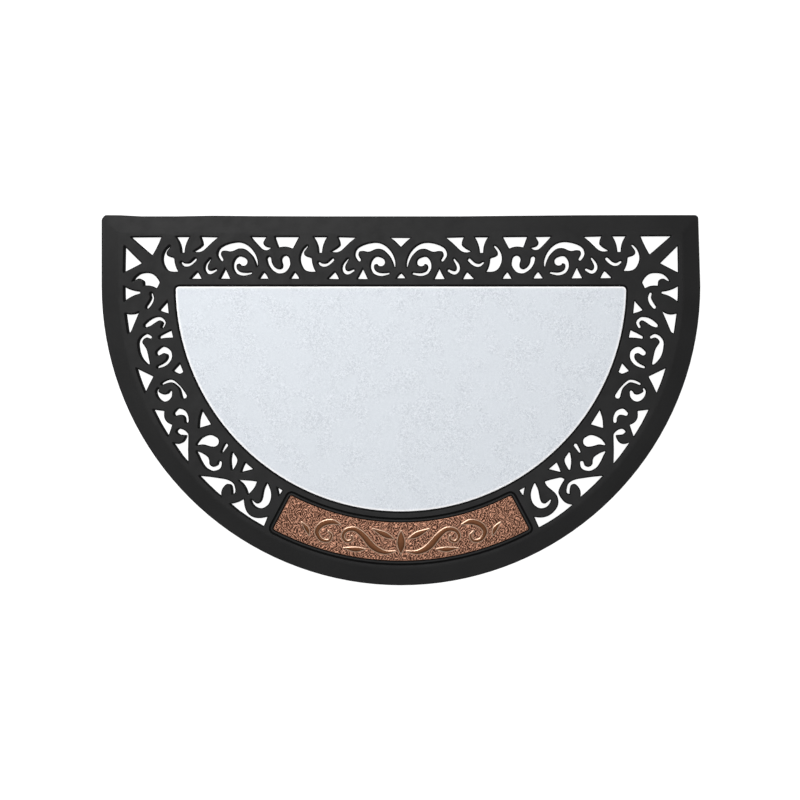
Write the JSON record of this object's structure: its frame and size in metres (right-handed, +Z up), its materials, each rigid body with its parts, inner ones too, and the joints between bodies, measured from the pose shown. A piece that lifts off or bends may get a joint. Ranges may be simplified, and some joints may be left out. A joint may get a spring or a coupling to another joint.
{
  "type": "half-round rubber doormat with felt insert",
  "caption": "Half-round moulded rubber doormat with a scrolled openwork border, a pale felt insert and a copper-coloured plaque",
  "frame": {"origin": "middle of the underside, on the floor", "axes": "+X along the straight side, +Y towards the straight side, +Z up out of the mat's top face"},
  "size_m": [0.75, 0.4636, 0.0076],
  "materials": {
    "black_rubber": "matte",
    "pale_felt": "matte non-woven felt",
    "copper_finish": "copper-coloured metallic coat, satin, pebbled"
  },
  "bodies": {
    "root": {"rubber_frame": "black_rubber", "felt_insert": "pale_felt", "copper_plaque": "copper_finish"}
  },
  "joints": []
}
